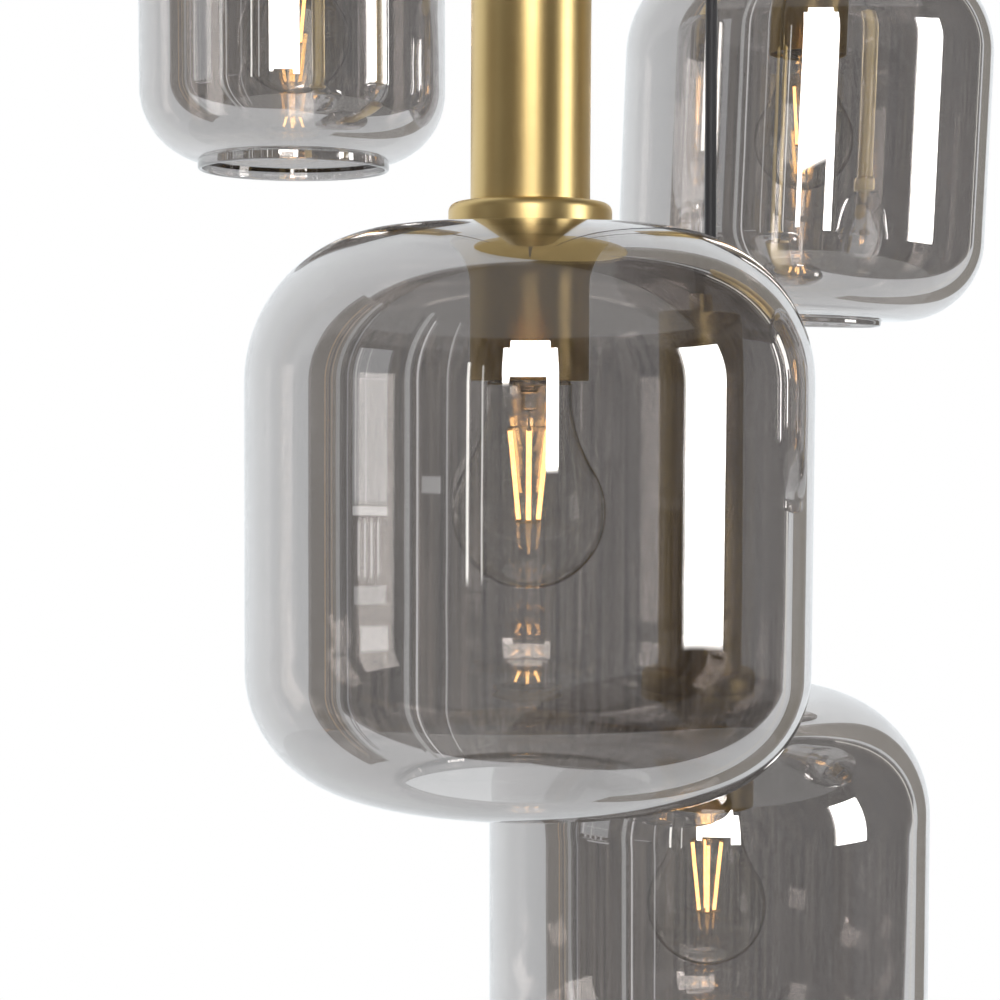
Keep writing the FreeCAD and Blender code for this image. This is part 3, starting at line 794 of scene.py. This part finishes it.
class PENDANT_OT_cups(bpy.types.Operator):
    """Spin the brass cups under the glass and glaze the lampholders in them"""
    bl_idname = "pendant.cups"
    bl_label = "Socket cups and lampholders"

    def execute(self, context):
        scene = context.scene
        brass = scene.pendant_brass
        colours = scene.pendant_colours
        glass = scene.pendant_glass
        finish = satin_brass(colours)
        glaze = dielectric("porcelain_glaze", colours.porcelain, rough=0.18, scale=140,
                           bump=0.05, coat=0.6)
        plated = nickel_plate(colours)
        seat = -glass.wall
        foot = seat - brass.sheet / 2 - brass.flare_depth
        step = brass.flare_radius - brass.cup_radius
        hollow = (brass.flare_depth ** 2 + step ** 2) / (2 * step)
        turn = math.degrees(math.asin(brass.flare_depth / hollow))
        flare = arc(brass.cup_radius + hollow, foot, hollow, 180 - turn, 180, FINE_STEP)
        spigot = glass.hole - 0.5 * MM
        spigot_top = seat + 1.5 * MM
        plate_foot = seat - 2 * MM
        inner = brass.cup_radius - brass.sheet
        outline = [
            (brass.rod_bore, spigot_top),
            (spigot, spigot_top, 0.3 * MM),
            (spigot, seat),
            (brass.flare_radius, seat, 0.2 * MM),
            *flare,
            (brass.cup_radius, brass.cup_bottom, brass.worn_edge),
            (inner, brass.cup_bottom, brass.worn_edge),
            (inner, plate_foot, 1 * MM),
            (brass.rod_bore, plate_foot),
        ]
        for pendant in PENDANTS:
            place = pendant_place(pendant, brass)
            cup = turned_piece(pendant + "_brass_cup", eased(outline), finish, place)
            settle(cup, pendant + "_pendant", pendant + "_socket_cup")
            dress(pendant + "_lampholder", glaze)
            dress(pendant + "_threaded_rod", plated)
        return {"FINISHED"}


class PENDANT_OT_lamps(bpy.types.Operator):
    """Make the lamps: envelope, stem, wires, light strips and threaded cap"""
    bl_idname = "pendant.lamps"
    bl_label = "Lamps"

    def execute(self, context):
        scene = context.scene
        colours = scene.pendant_colours
        lamp = scene.pendant_lamp
        finishes = {
            "clear": clear_glass(colours),
            "strip": lit_strip(colours),
            "nickel": nickel_plate(colours),
            "insulator": dielectric("cap_insulator", colours.insulator, rough=0.2, scale=300,
                                    bump=0.05),
        }
        for pendant in PENDANTS:
            place = pendant_place(pendant, scene.pendant_brass)
            envelope = turned_piece(pendant + "_envelope", bulb_outline(lamp),
                                    finishes["clear"], place)
            settle(envelope, pendant + "_lamp", pendant + "_bulb_glass")
            self.light(pendant, place, lamp, finishes)
            self.cap(pendant, place, lamp, finishes)
        return {"FINISHED"}

    def light(self, pendant, place, lamp, finishes):
        """Four strips that close in downwards, hung on wires round a glass stem."""
        top = lamp.strip_bottom + lamp.strip_height
        stem_foot = lamp.neck_top - lamp.stem_length
        flare = lamp.neck_radius - lamp.neck_edge - 0.1 * MM
        stem = turned_piece(pendant + "_stem", eased([
            (0, lamp.neck_top), (flare, lamp.neck_top, 0.3 * MM),
            (lamp.stem_radius, lamp.neck_top - lamp.neck_edge, 4 * MM),
            (lamp.stem_radius, stem_foot, 1 * MM), (0, stem_foot - lamp.stem_radius / 2),
        ]), finishes["clear"], place, segments=48)
        settle(stem, pendant + "_lamp", None)
        wires = bmesh.new()
        strips = bmesh.new()
        wire_foot = Vector((0, 0, lamp.strip_bottom - lamp.wire_radius))
        rod_between(wires, Vector((0, 0, stem_foot)), wire_foot, lamp.wire_radius)
        sleeve_length = 2.2 * MM
        sleeve_radius = lamp.strip_radius * 1.06
        overhang = 0.2 * MM
        for quarter in range(4):
            out = Matrix.Rotation(math.pi / 2 * quarter, 4, "Z") @ Vector((1, 0, 0))
            high = out * lamp.strip_spread + Vector((0, 0, top))
            low = out * lamp.strip_close + Vector((0, 0, lamp.strip_bottom))
            slope = (low - high).normalized()
            rod_between(strips, high, low, lamp.strip_radius)
            for end, way in ((high, slope), (low, -slope)):
                rod_between(wires, end - way * overhang, end + way * sleeve_length,
                            sleeve_radius)
                rod_between(wires, Vector((0, 0, end.z)), end, lamp.wire_radius)
        lit = piece(pendant + "_light_strips", strips, finishes["strip"], place)
        settle(lit, pendant + "_lamp", pendant + "_bulb_filament")
        held = piece(pendant + "_support_wires", wires, finishes["nickel"], place)
        settle(held, pendant + "_lamp", None)

    def cap(self, pendant, place, lamp, finishes):
        """Threaded sleeve, black insulator and contact tip."""
        sleeve_top = lamp.cap_top - 6.9 * MM
        wall = 0.6 * MM
        gap = 0.1 * MM
        foot = lamp.neck_top + gap
        thread_start = lamp.neck_top + 2.2 * MM
        thread_end = sleeve_top - 1 * MM
        rows = 60

        def thread(angle, r, z):
            run = (z - thread_start) / lamp.thread_pitch
            rest = (thread_end - z) / lamp.thread_pitch
            fade = max(0.0, min(1.0, 2 * run, 2 * rest))
            wave = 0.5 - 0.5 * math.cos(2 * math.pi * run - angle)
            return r - lamp.thread_depth * fade * wave

        outside = [(lamp.cap_radius, foot + (sleeve_top - foot) * i / rows)
                   for i in range(rows + 1)]
        inside = [(r - wall, z) for r, z in reversed(outside)]
        sleeve = turned_piece(pendant + "_cap_sleeve", outside + inside, finishes["nickel"],
                              place, segments=64, shift=thread)
        settle(sleeve, pendant + "_lamp_cap", pendant + "_bulb_cap")
        tip_foot = lamp.cap_top - 2.4 * MM
        inner = lamp.cap_radius - wall
        insulator = turned_piece(pendant + "_cap_insulator", eased([
            (inner, thread_end), (inner, sleeve_top, 0.4 * MM),
            (lamp.contact + 1.5 * MM, tip_foot, 1 * MM), (0, tip_foot), (0, thread_end),
        ]), finishes["insulator"], place, segments=48)
        settle(insulator, pendant + "_lamp_cap", None)
        contact_foot = tip_foot - 0.2 * MM
        tip = turned_piece(pendant + "_cap_contact", eased([
            (0, contact_foot), (lamp.contact, contact_foot),
            (lamp.contact, lamp.cap_top, 1.2 * MM), (0, lamp.cap_top),
        ]), finishes["nickel"], place, segments=48)
        settle(tip, pendant + "_lamp_cap", None)


class PENDANT_OT_cords(bpy.types.Operator):
    """Hang the five straight cords"""
    bl_idname = "pendant.cords"
    bl_label = "Cords"

    def execute(self, context):
        cord = context.scene.pendant_cord
        finish = woven_sleeve(context.scene.pendant_colours, cord)
        inset = 60 * MM
        for pendant in PENDANTS:
            upper = Vector(joint(pendant + "_swing")["pos_m"])
            lower = Vector(joint(pendant + "_tilt")["pos_m"])
            fall = lower.z - upper.z
            heights = (cord.tuck, -inset, fall + inset, fall - cord.tuck)
            line = bpy.data.curves.new(pendant + "_sleeve", "CURVE")
            line.dimensions = "3D"
            line.bevel_depth = cord.diameter / 2
            line.bevel_resolution = 6
            line.use_fill_caps = True
            run = line.splines.new("NURBS")
            run.points.add(len(heights) - 1)
            for point, height in zip(run.points, heights):
                point.co = (0, 0, height, 1)
            run.order_u = 3
            run.use_endpoint_u = True
            line.materials.append(finish)
            made = bpy.data.objects.new(pendant + "_sleeve", line)
            context.scene.collection.objects.link(made)
            made.location = upper
            settle(made, pendant + "_hanger", pendant + "_cord")
        return {"FINISHED"}


class PENDANT_OT_ceiling(bpy.types.Operator):
    """Finish the ceiling pan, its nuts and grips, the bracket and the connector"""
    bl_idname = "pendant.ceiling"
    bl_label = "Ceiling pan and bracket"

    def execute(self, context):
        colours = context.scene.pendant_colours
        brass = satin_brass(colours)
        for name in ("canopy_pan", "cap_nuts", "cord_grips"):
            dress(name, brass)
        dress("mounting_bracket", zinc_steel(colours))
        plastic = dielectric("connector_plastic", colours.plastic, rough=0.45, scale=500, bump=0.1)
        dress("terminal_block", plastic)
        return {"FINISHED"}


class PENDANT_OT_stage(bpy.types.Operator):
    """Set the camera, the pale floor and the studio light"""
    bl_idname = "pendant.stage"
    bl_label = "Camera, floor and light"

    def execute(self, context):
        scene = context.scene
        stage = scene.pendant_stage
        self.camera(scene, stage)
        self.floor(scene, stage)
        self.surroundings(scene)
        self.overhead(scene, stage)
        scene.view_settings.view_transform = "Standard"
        bounces = 24    # enough for light that passes all the jars
        scene.cycles.max_bounces = bounces
        scene.cycles.transmission_bounces = bounces
        return {"FINISHED"}

    def camera(self, scene, stage):
        data = bpy.data.cameras.new("camera")
        data.lens = stage.camera_lens
        camera = bpy.data.objects.new("camera", data)
        camera.location = stage.camera_place
        camera.rotation_euler = (math.pi / 2 - stage.camera_dip, 0, 0)
        scene.collection.objects.link(camera)
        scene.camera = camera

    def floor(self, scene, stage):
        mesh = bmesh.new()
        bmesh.ops.create_circle(mesh, cap_ends=True, segments=96, radius=stage.floor_radius)
        floor = piece("floor", mesh, studio_floor(scene.pendant_colours),
                      Matrix.Translation((0, 0, stage.floor_height)))
        floor.visible_glossy = False

    def surroundings(self, scene):
        """A dark room in front, a pale backdrop behind, and white straight to the camera."""
        world = bpy.data.worlds.new("studio")
        scene.world = world
        world.use_nodes = True
        tree = world.node_tree
        way = node(tree, "ShaderNodeTexCoord").outputs["Generated"]
        xyz = node(tree, "ShaderNodeSeparateXYZ", Vector=way)
        x, y, z = (xyz.outputs[i] for i in range(3))
        azimuth = maths(tree, "ARCTAN2", x, maths(tree, "MULTIPLY", y, -1.0))
        elevation = maths(tree, "ARCSINE", z)
        lean = -0.70
        rightwards = maths(tree, "MULTIPLY", maths(tree, "MAXIMUM", x, 0.0), lean)
        downwards = maths(tree, "MULTIPLY", maths(tree, "MINIMUM", z, 0.0), lean)
        behind = maths(tree, "ADD", maths(tree, "ADD", y, rightwards), downwards)
        edge = spread(tree, behind, 0.0, 1.0, end=0.035, smooth=True)
        seen = blend(tree, edge, self.room(tree, azimuth, elevation), self.paper(tree, y))
        for panel in PANELS.values():
            seen = self.with_panel(tree, seen, azimuth, elevation, *panel)
        direct = node(tree, "ShaderNodeLightPath").outputs["Is Camera Ray"]
        white = (1, 1, 1)
        shown = blend(tree, direct, seen, white)
        tree.links.new(shown, tree.nodes["Background"].inputs["Color"])

    def room(self, tree, azimuth, elevation):
        """Dark room with faint upright streaks, weaker towards the right."""
        drawn_out = maths(tree, "MULTIPLY", elevation, 0.12)
        upright = node(tree, "ShaderNodeCombineXYZ", X=azimuth, Y=drawn_out)
        streaks = grain(tree, upright.outputs[0], scale=26, detail=5)
        strong = spread(tree, streaks, -0.5, 1.4)
        fade = spread(tree, azimuth, 1.0, 0.55, start=-0.6, end=0.9)
        darkest = (0.005, 0.005, 0.005)
        lightest = (0.20, 0.17, 0.145)
        return blend(tree, maths(tree, "MULTIPLY", strong, fade), darkest, lightest)

    def paper(self, tree, y):
        """Pale backdrop, lighter towards its middle and slightly blue."""
        far = spread(tree, y, 0.72, 0.97, end=0.8)
        colour = node(tree, "ShaderNodeCombineColor")
        tones = (1.02, 1.06, 1.09)
        for channel, tone in enumerate(tones):
            tree.links.new(maths(tree, "MULTIPLY", far, tone), colour.inputs[channel])
        return colour.outputs[0]

    def with_panel(self, tree, seen, azimuth, elevation, place, half, low, high, colour):
        """What is seen so far, with one soft-edged panel laid over it."""
        side = maths(tree, "ABSOLUTE", maths(tree, "SUBTRACT", azimuth, math.radians(place)))
        middle = math.radians((low + high) / 2)
        rise = maths(tree, "ABSOLUTE", maths(tree, "SUBTRACT", elevation, middle))
        masks = []
        for distance, reach in ((side, half), (rise, (high - low) / 2)):
            soft = min(PANEL_EDGE, 0.3 * reach)
            masks.append(spread(tree, distance, 1.0, 0.0, start=math.radians(reach - soft),
                                end=math.radians(reach), smooth=True))
        return blend(tree, maths(tree, "MULTIPLY", *masks), seen, colour)

    def overhead(self, scene, stage):
        """Soft area light for matt surfaces. Glass and metal see the panels instead."""
        data = bpy.data.lights.new("overhead_light", "AREA")
        data.shape = "RECTANGLE"
        data.size = stage.light_width
        data.size_y = stage.light_depth
        data.energy = stage.light_power
        light = bpy.data.objects.new("overhead_light", data)
        light.location = stage.light_place
        way = Vector(stage.light_aim) - Vector(stage.light_place)
        light.rotation_euler = way.to_track_quat("-Z", "Z").to_euler()
        light.visible_camera = False
        light.visible_glossy = False
        light.visible_transmission = False
        scene.collection.objects.link(light)


# What glass and brass see of the studio, later ones over earlier ones: azimuth from the camera
# side and half width, lowest and highest elevation, all in degrees, and colour.
PANEL_EDGE = 0.5
WINDOW = -64.5
PANELS = {
    "ceiling": (0, 75, 30, 100, (0.17, 0.165, 0.16)),
    "side_wall": (-88, 9, -50, 45, (0.22, 0.20, 0.18)),
    "lit_wood": (-87, 0.35, -45, 42, (0.62, 0.42, 0.24)),
    "wood_gap": (-84.5, 0.25, -45, 42, (0.05, 0.04, 0.04)),
    "pale_wood": (-83.2, 0.4, -40, 42, (0.50, 0.40, 0.30)),
    "wall_post": (-80, 1.2, -50, 45, (0.45, 0.46, 0.46)),
    "post_gap": (-76.5, 0.3, -42, 40, (0.06, 0.06, 0.06)),
    "window_post": (-75, 0.5, -42, 40, (0.36, 0.36, 0.38)),
    "window": (WINDOW, 8.2, -3.0, 20, (0.40, 0.41, 0.42)),
    "left_bar": (-71, 0.5, -3.0, 20, (0.85, 0.85, 0.85)),
    "middle_bar": (-66, 0.3, -3.0, 20, (0.75, 0.75, 0.75)),
    "low_bar": (WINDOW, 8.2, -3.2, -2.8, (0.8, 0.8, 0.8)),
    "cross_bar": (WINDOW, 8.2, 3.0, 3.5, (0.7, 0.7, 0.7)),
    "first_blind": (-69.5, 0.6, -5.6, -3.2, (0.75, 0.75, 0.75)),
    "second_blind": (-66.5, 0.6, -5.6, -3.2, (0.75, 0.75, 0.75)),
    "third_blind": (-63.5, 0.6, -5.6, -3.2, (0.70, 0.70, 0.70)),
    "fourth_blind": (-60.5, 0.6, -5.6, -3.2, (0.65, 0.65, 0.65)),
    "sill": (WINDOW, 7.5, -6.5, -5.7, (0.45, 0.45, 0.45)),
    "white_sheet": (-62.5, 6.5, -8.3, -7.2, (0.62, 0.62, 0.62)),
    "door_frame": (-48.2, 1.3, -50, 45, (0.50, 0.51, 0.51)),
    "left_groove": (-51, 0.4, -45, 42, (0.05, 0.05, 0.05)),
    "right_groove": (-46.3, 0.3, -45, 42, (0.06, 0.06, 0.06)),
    "door_edge": (-44, 0.5, -50, 40, (1.0, 1.0, 1.0)),
    "handle": (-38.5, 4, -2.4, -1.6, (0.5, 0.5, 0.5)),
    "far_edge": (-32.3, 0.4, -45, 40, (0.6, 0.6, 0.6)),
    "bright_gap": (-24.4, 0.6, -6, 14, (2.2, 2.2, 2.1)),
    "pale_gap": (-18.8, 0.4, -6, 12, (1.2, 1.2, 1.15)),
    "key_light": (-0.4, 11.2, 4.6, 24, (7, 6.9, 6.7)),
    "key_top": (-0.4, 8.5, 24, 29, (7, 6.9, 6.7)),
    "key_right_leg": (8.2, 2.5, -1.9, 5.2, (12, 11.8, 11.4)),
    "key_left_leg": (-9.9, 1.5, 1.6, 5.2, (9, 8.9, 8.6)),
    "side_light": (71.3, 9.8, -8.6, 21, (6.0, 6.0, 5.9)),
    "rear_wall": (137, 9, -70, 70, (0.30, 0.28, 0.25)),
    "rear_gap": (122.3, 0.8, -45, 45, (1.0, 0.97, 0.9)),
}


class PENDANT_PT_panel(bpy.types.Panel):
    """Lists the steps of the cluster pendant"""
    bl_idname = "PENDANT_PT_panel"
    bl_label = "Cluster Pendant"
    bl_space_type = "VIEW_3D"
    bl_region_type = "UI"
    bl_category = "Cluster Pendant"

    def draw(self, context):
        for operator in OPERATORS:
            self.layout.operator(operator.bl_idname)


GROUPS = {
    "pendant_glass": GlassSizes,
    "pendant_brass": BrassSizes,
    "pendant_lamp": LampSizes,
    "pendant_cord": CordSizes,
    "pendant_colours": Colours,
    "pendant_stage": StageSizes,
}
OPERATORS = (
    PENDANT_OT_stage,
    PENDANT_OT_cords,
    PENDANT_OT_tubes,
    PENDANT_OT_shades,
    PENDANT_OT_cups,
    PENDANT_OT_lamps,
    PENDANT_OT_ceiling,
)


def register():
    for group in GROUPS.values():
        bpy.utils.register_class(group)
    for name, group in GROUPS.items():
        setattr(bpy.types.Scene, name, PointerProperty(type=group))
    for shown in OPERATORS + (PENDANT_PT_panel,):
        bpy.utils.register_class(shown)


def unregister():
    for shown in reversed(OPERATORS + (PENDANT_PT_panel,)):
        bpy.utils.unregister_class(shown)
    for name in GROUPS:
        delattr(bpy.types.Scene, name)
    for group in reversed(tuple(GROUPS.values())):
        bpy.utils.unregister_class(group)


def main():
    register()
    for operator in OPERATORS:
        step = operator.bl_idname.split(".")[1]
        getattr(bpy.ops.pendant, step)()


if __name__ == "__main__":
    main()
